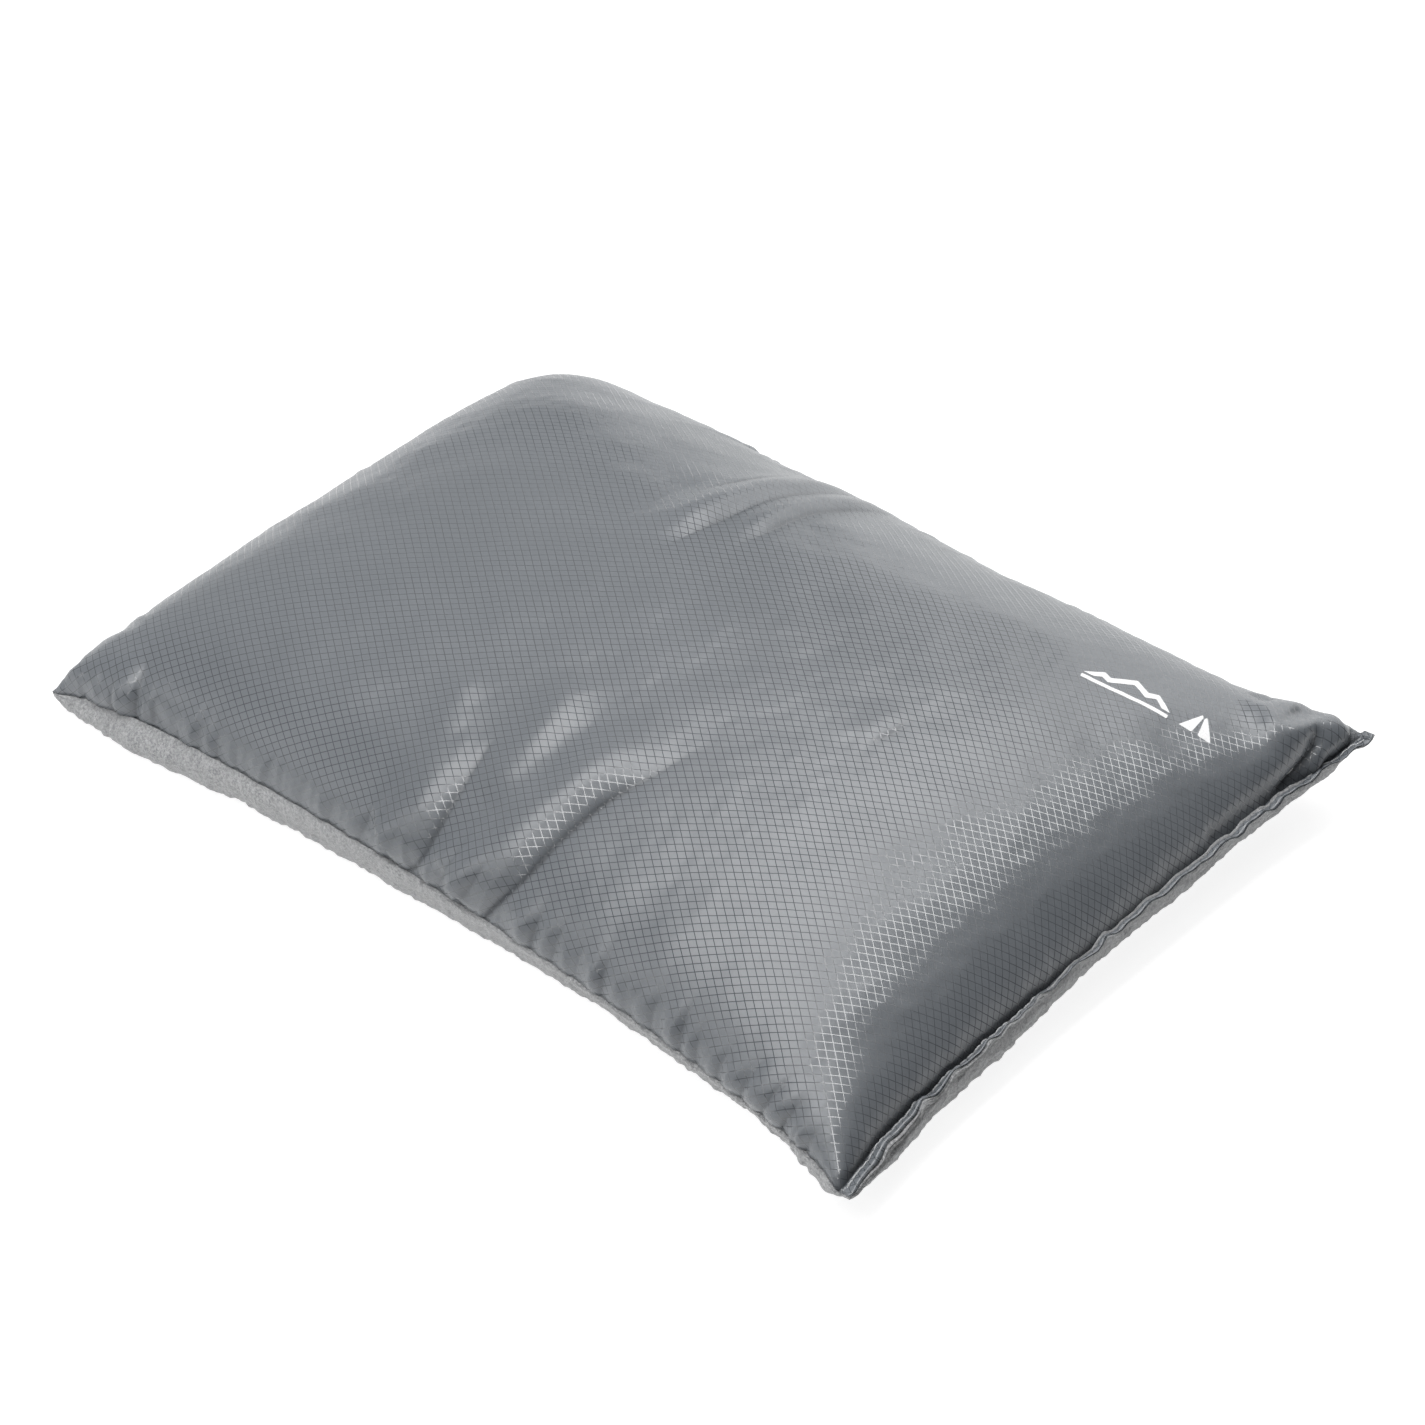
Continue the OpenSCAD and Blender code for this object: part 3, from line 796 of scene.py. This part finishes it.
def printed_mark(bag):
    """A thin film of white ink that follows the cloth."""
    edge_step, inner_step = 0.6, 0.7  # between its points, in millimetres
    points, faces = [], []
    c, s = math.cos(PRINT_TURN), math.sin(PRINT_TURN)
    turn = np.array([[c, s], [-s, c]])
    for corners in print_outlines():
        outline = soft_outline(corners)
        closed = np.vstack([outline, outline[:1]])
        dense = []
        for start, stop in zip(closed, closed[1:]):
            count = max(1, int(np.linalg.norm(stop - start) / edge_step))
            dense += [start + (stop - start) * k / count for k in range(count)]
        dense = np.array(dense)
        low, high = dense.min(0) + inner_step / 2, dense.max(0)
        gx, gy = np.meshgrid(*(np.arange(low[k], high[k], inner_step) for k in (0, 1)))
        inner = [p for p in np.stack([gx.ravel(), gy.ravel()], -1) if inside_outline(p, dense)]
        every = [tuple(p) for p in dense] + [tuple(p) for p in inner]
        edges = [(k, (k + 1) % len(dense)) for k in range(len(dense))]
        found, _, triangles, *_ = delaunay_2d_cdt(every, edges, [list(range(len(dense)))], 1, 1e-5)
        flat = np.array([tuple(v) for v in found]) * 0.001 @ turn + PRINT_AT
        face, normal = bag.outer(TOP, flat[:, 0], flat[:, 1])
        first, count = len(points), len(flat)
        points += (face + normal * PRINT_T).tolist() + (face - normal * PRINT_SUNK).tolist()
        triangles = [tuple(t) for t in triangles]
        faces += [tuple(first + i for i in t) for t in triangles]
        faces += [tuple(first + count + i for i in t[::-1]) for t in triangles]
        sides = {(t[k], t[(k + 1) % 3]) for t in triangles for k in range(3)}
        for i, j in sides:
            if (j, i) not in sides:
                faces.append((first + j, first + i, first + count + i, first + count + j))
    return new_object("printed_mark_ink", points, faces, smooth_shading=False)


# ---------------------------------------------------------------- materials


class Nodes:
    """A short way to write the nodes of a material, or of the world."""

    def __init__(self, name, world=None):
        self.material = world or bpy.data.materials.new(name)
        self.material.use_nodes = True
        self.tree = self.material.node_tree
        self.shader = self.tree.nodes["Background" if world else "Principled BSDF"]

    def give(self, socket, value):
        """Links another node's output to a socket, or sets the socket to a constant."""
        if isinstance(value, bpy.types.NodeSocket):
            self.tree.links.new(value, socket)
        else:
            socket.default_value = value

    def add(self, kind, inputs=None, **settings):
        node = self.tree.nodes.new("ShaderNode" + kind)
        for key, value in settings.items():
            setattr(node, key, value)
        for key, value in (inputs or {}).items():
            self.give(node.inputs[key], value)
        return node

    def math(self, operation, *values):
        return self.add("Math", dict(enumerate(values)), operation=operation).outputs[0]

    def dot(self, vector, direction):
        node = self.add("VectorMath", {0: vector, 1: direction}, operation="DOT_PRODUCT")
        return node.outputs["Value"]

    def ramp(self, value, low, high, to_low=0.0, to_high=1.0):
        inputs = {"Value": value, "From Min": low, "From Max": high, "To Min": to_low, "To Max": to_high}
        return self.add("MapRange", inputs, interpolation_type="SMOOTHSTEP").outputs["Result"]

    def mix(self, share, a, b):
        node = self.add("Mix", {0: share, 6: a, 7: b}, data_type="RGBA")
        return node.outputs[2]

    def noise(self, vector, scale, detail=2.0, rough=0.5):
        inputs = {"Vector": vector, "Scale": scale, "Detail": detail, "Roughness": rough}
        return self.add("TexNoise", inputs).outputs["Fac"]

    def bump(self, height, distance, strength=1.0, normal=None):
        inputs = {"Height": height, "Distance": distance, "Strength": strength}
        if normal is not None:
            inputs["Normal"] = normal
        return self.add("Bump", inputs).outputs["Normal"]

    def set(self, **values):
        for key, value in values.items():
            self.give(self.shader.inputs[key.replace("_", " ")], value)


def ripstop_material():
    """Grey ripstop: a diamond grid of thicker threads in a fine weave, with a soft sheen."""
    n = Nodes("ripstop")
    flat = n.add("Attribute", attribute_name="flat").outputs["Vector"]
    s, c = math.sin(GRID_ANGLE) / GRID_PITCH, math.cos(GRID_ANGLE) / GRID_PITCH
    lines = []
    for direction in ((s, c, 0), (s, -c, 0)):
        near = n.math("PINGPONG", n.dot(flat, direction), 0.5)  # in pitches, to the nearest line
        lines.append(n.ramp(near, 0.030, 0.065, 1.0, 0.0))
    grid = n.math("MAXIMUM", *lines)
    turns = 2 * math.pi / WEAVE_PITCH
    warp, weft = (n.math("SINE", n.dot(flat, way)) for way in ((turns, 0, 0), (0, turns, 0)))
    weave = n.math("ADD", warp, weft)
    cloud = n.noise(flat, 14.0, 3.0)
    streak = n.noise(flat, 900.0, 1.0)
    base = n.mix(n.ramp(cloud, 0.3, 0.7), (0.114, 0.126, 0.140, 1), (0.131, 0.143, 0.158, 1))
    base = n.mix(n.ramp(streak, 0.35, 0.75, 0.0, 0.35), base, (0.104, 0.112, 0.121, 1))
    colour = n.mix(n.math("MULTIPLY", grid, 0.9), base, (0.052, 0.058, 0.066, 1))
    # Painted shade: in folds and in the groove beside the stitched edge the colour darkens to near black.
    painted_shade = n.add("Attribute", attribute_name="painted_shade").outputs["Fac"]
    colour = n.mix(n.math("MULTIPLY", painted_shade, 0.8), colour, (0.012, 0.013, 0.015, 1))
    height = n.math("ADD", n.math("MULTIPLY", grid, 0.1), n.math("MULTIPLY", weave, 0.06))
    # The thick threads' normals lean, so that they glint apart from the weave. To match the photo, the lean fades
    # towards the left end, and their shine towards the back left, so that they stay dark there.
    along = n.dot(flat, (1, 0, 0))
    lean = n.ramp(along, -0.185, -0.10)
    dull = n.math("MULTIPLY", grid, n.ramp(n.dot(flat, (-0.6, 1, 0)), 0.075, 0.135))
    # The painted shade of folds and of the groove also takes away most of the sheen there.
    shine = n.math("MULTIPLY", n.ramp(dull, 0.0, 1.0, 0.9, 0.15), n.ramp(painted_shade, 0.0, 0.9, 1.0, 0.1))
    n.set(
        Base_Color=colour,
        Roughness=n.ramp(grid, 0.0, 1.0, 0.40, 0.17),
        IOR=n.ramp(grid, 0.0, 1.0, 1.5, 1.6),
        Normal=n.bump(along, n.math("MULTIPLY", lean, THREAD_LEAN), grid, n.bump(height, 0.00003, 0.8)),
        Sheen_Weight=0.12,
        Sheen_Roughness=0.4,
        Specular_IOR_Level=shine,
    )
    return n.material


def fleece_material():
    """Pale brushed fleece, lightly heathered."""
    n = Nodes("fleece")
    flat = n.add("Attribute", attribute_name="flat").outputs["Vector"]
    place = n.add("TexCoord").outputs["Object"]
    heather = n.noise(place, 950.0, 3.0, 0.75)
    cloud = n.noise(flat, 30.0, 2.0)
    base = n.mix(n.ramp(heather, 0.35, 0.65), (0.205, 0.21, 0.22, 1), (0.475, 0.48, 0.485, 1))
    base = n.mix(n.ramp(cloud, 0.3, 0.7, 0.0, 0.3), base, (0.35, 0.355, 0.365, 1))
    curl = n.noise(place, 1100.0, 4.0, 0.75)
    clump = n.noise(place, 260.0, 2.0, 0.6)
    height = n.math("ADD", curl, n.math("MULTIPLY", clump, 1.4))
    n.set(
        Base_Color=base,
        Roughness=0.95,
        Normal=n.bump(height, 0.0009, 0.9),
        Sheen_Weight=0.5,
        Sheen_Roughness=0.6,
        Specular_IOR_Level=0.15,
    )
    return n.material


def fibre_material():
    """White hollow polyester fibre."""
    n = Nodes("fibre")
    place = n.add("TexCoord").outputs["Object"]
    strand = n.noise(place, 900.0, 5.0, 0.8)
    clump = n.noise(place, 120.0, 3.0, 0.6)
    base = n.mix(n.ramp(clump, 0.3, 0.7), (0.72, 0.73, 0.74, 1), (0.86, 0.86, 0.85, 1))
    height = n.math("ADD", strand, clump)
    normal = n.bump(height, 0.0012)
    n.set(Base_Color=base, Roughness=0.9, Normal=normal, Sheen_Weight=0.3, Specular_IOR_Level=0.2)
    return n.material


def thread_material(name, colour, dark):
    """Spun polyester thread with a slight sheen, darker in places."""
    n = Nodes(name)
    place = n.add("TexCoord").outputs["Object"]
    spun = n.noise(place, 2600.0, 3.0, 0.7)
    wear = n.noise(place, 60.0, 2.0)
    base = n.mix(n.ramp(spun, 0.35, 0.65), dark, colour)
    base = n.mix(n.ramp(wear, 0.4, 0.8, 0.0, 0.4), base, dark)
    normal = n.bump(spun, 0.0001)
    n.set(Base_Color=base, Roughness=0.55, Normal=normal, Sheen_Weight=0.3, Specular_IOR_Level=0.4)
    return n.material


def print_material():
    """White print ink, slightly matt, with a fine grain."""
    n = Nodes("print")
    place = n.add("TexCoord").outputs["Object"]
    grain = n.noise(place, 1500.0, 3.0, 0.6)
    base = n.mix(n.ramp(grain, 0.25, 0.55), (0.72, 0.73, 0.74, 1), (0.90, 0.90, 0.90, 1))
    n.set(Base_Color=base, Roughness=0.5, Normal=n.bump(grain, 0.00004), Specular_IOR_Level=0.35)
    return n.material


# ---------------------------------------------------------------- stage, light and camera

# Each light is its name, place, size and power in watts, and for some what it points at.
LIGHTS = [
    ("right", (0.36, 0.15, 1.55), (0.44, 3.0), 3, (0.36, 0.15, 0)),
    ("softbox", (-0.29, 0.12, 1.6), (0.60, 3.45), 41, (-0.29, 0.12, 0)),
    ("back", (-0.45, 2.2, 0.7), (1.8, 1.3), 10),
    ("front_strip", (0.25, -1.9, 1.2), (0.4, 1.0), 4),
    ("left", (-1.9, 0.6, 1.2), (2.0, 2.4), 4),
    ("front", (-1.2, -1.9, 1.0), (1.5, 1.0), 7),
]
CAMERA_AZIMUTH, CAMERA_ELEVATION = math.radians(42.36), math.radians(40.09)
CAMERA_DISTANCE, CAMERA_LENS = 1.748, 112.2  # metres, millimetres
CAMERA_RIGHT, CAMERA_UP = 0.0029, 0.0174  # how far it looks past the origin
FLOOR_HALF = 6.0


def area_light(name, place, size, power, aim=(0, 0, 0.03)):
    light = bpy.data.lights.new(name, "AREA")
    light.shape = "RECTANGLE"
    light.size, light.size_y = size
    light.energy = power
    obj = bpy.data.objects.new(name, light)
    bpy.context.scene.collection.objects.link(obj)
    obj.location = place
    way = np.array(aim) - np.array(place)
    obj.rotation_euler = Vector(way).to_track_quat("-Z", "Y").to_euler()
    if abs(way[0]) + abs(way[1]) < 1e-6:  # straight down, with its sides along the axes
        obj.rotation_euler = (0, 0, 0)


def make_floor():
    """A white table, mostly lit from itself, so that it takes hardly any shadow."""
    corners = [(x * FLOOR_HALF, y * FLOOR_HALF, 0) for x, y in ((-1, -1), (1, -1), (1, 1), (-1, 1))]
    floor = new_object("floor", corners, [(0, 1, 2, 3)])
    n = Nodes("floor")
    place = n.add("TexCoord").outputs["Object"]
    pale = n.mix(n.noise(place, 2.0), (0.31, 0.31, 0.31, 1), (0.33, 0.33, 0.33, 1))
    n.set(Base_Color=pale, Roughness=0.9, Emission_Color=(1, 1, 1, 1), Emission_Strength=0.83)
    floor.data.materials.append(n.material)


def make_world():
    """A dim sky that is brighter towards the upper left."""
    bright_side, darkest, brightest = (-0.80, 0.25, 0.55), 0.02, 0.28
    world = bpy.data.worlds.new("world")
    bpy.context.scene.world = world
    n = Nodes("world", world)
    sky = n.add("TexCoord").outputs["Generated"]
    n.set(Color=(1, 1, 1, 1), Strength=n.ramp(n.dot(sky, bright_side), -0.5, 0.8, darkest, brightest))


def make_stage():
    make_floor()
    make_world()
    for light in LIGHTS:
        area_light(*light)
    bpy.context.scene.view_settings.view_transform = "Standard"


def make_camera():
    """Long lens, above the front right corner."""
    sin_a, cos_a = math.sin(CAMERA_AZIMUTH), math.cos(CAMERA_AZIMUTH)
    sin_e, cos_e = math.sin(CAMERA_ELEVATION), math.cos(CAMERA_ELEVATION)
    right = np.array([cos_a, sin_a, 0])
    back = np.array([sin_a * cos_e, -cos_a * cos_e, sin_e])
    up = np.cross(back, right)
    data = bpy.data.cameras.new("camera")
    data.lens, data.sensor_width = CAMERA_LENS, 36.0
    data.clip_start, data.clip_end = 0.05, 50
    camera = bpy.data.objects.new("camera", data)
    bpy.context.scene.collection.objects.link(camera)
    camera.location = right * CAMERA_RIGHT + up * CAMERA_UP + back * CAMERA_DISTANCE
    camera.rotation_euler = (math.pi / 2 - CAMERA_ELEVATION, 0, CAMERA_AZIMUTH)
    bpy.context.scene.camera = camera


# ---------------------------------------------------------------- build

make_camera()
make_stage()
bag = Bag(lumpy(simulate()))

grey_thread = thread_material("seam_thread", (0.22, 0.23, 0.24, 1), (0.12, 0.13, 0.14, 1))
pale_thread = thread_material("closing_thread", (0.56, 0.57, 0.58, 1), (0.38, 0.39, 0.40, 1))
# Each piece, the CAD node that it replaces, its slot in the record, and its material
PIECES = [
    (panel("ripstop_top_panel", bag, TOP), "top_panel", "ripstop", ripstop_material()),
    (panel("fleece_bottom_panel", bag, BOTTOM), "bottom_panel", "fleece", fleece_material()),
    (fibre_fill(bag), "fibre_fill", "fibre", fibre_material()),
    (printed_mark(bag), "printed_mark", "print", print_material()),
    (closing_thread("closing_stitches_top", bag, TOP),
     "closing_needle_thread", "closing_thread", pale_thread),
    (closing_thread("closing_stitches_bottom", bag, BOTTOM),
     "closing_bobbin_thread", "closing_thread", pale_thread),
    (turned_thread("seam_stitches_top", bag, TOP), "seam_needle_thread", "seam_thread", grey_thread),
    (turned_thread("seam_stitches_bottom", bag, BOTTOM),
     "seam_bobbin_thread", "seam_thread", grey_thread),
]  # fmt: skip
for piece, node, slot, material in PIECES:
    piece.data.materials.append(material)
    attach(piece, "root")
    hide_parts(node)
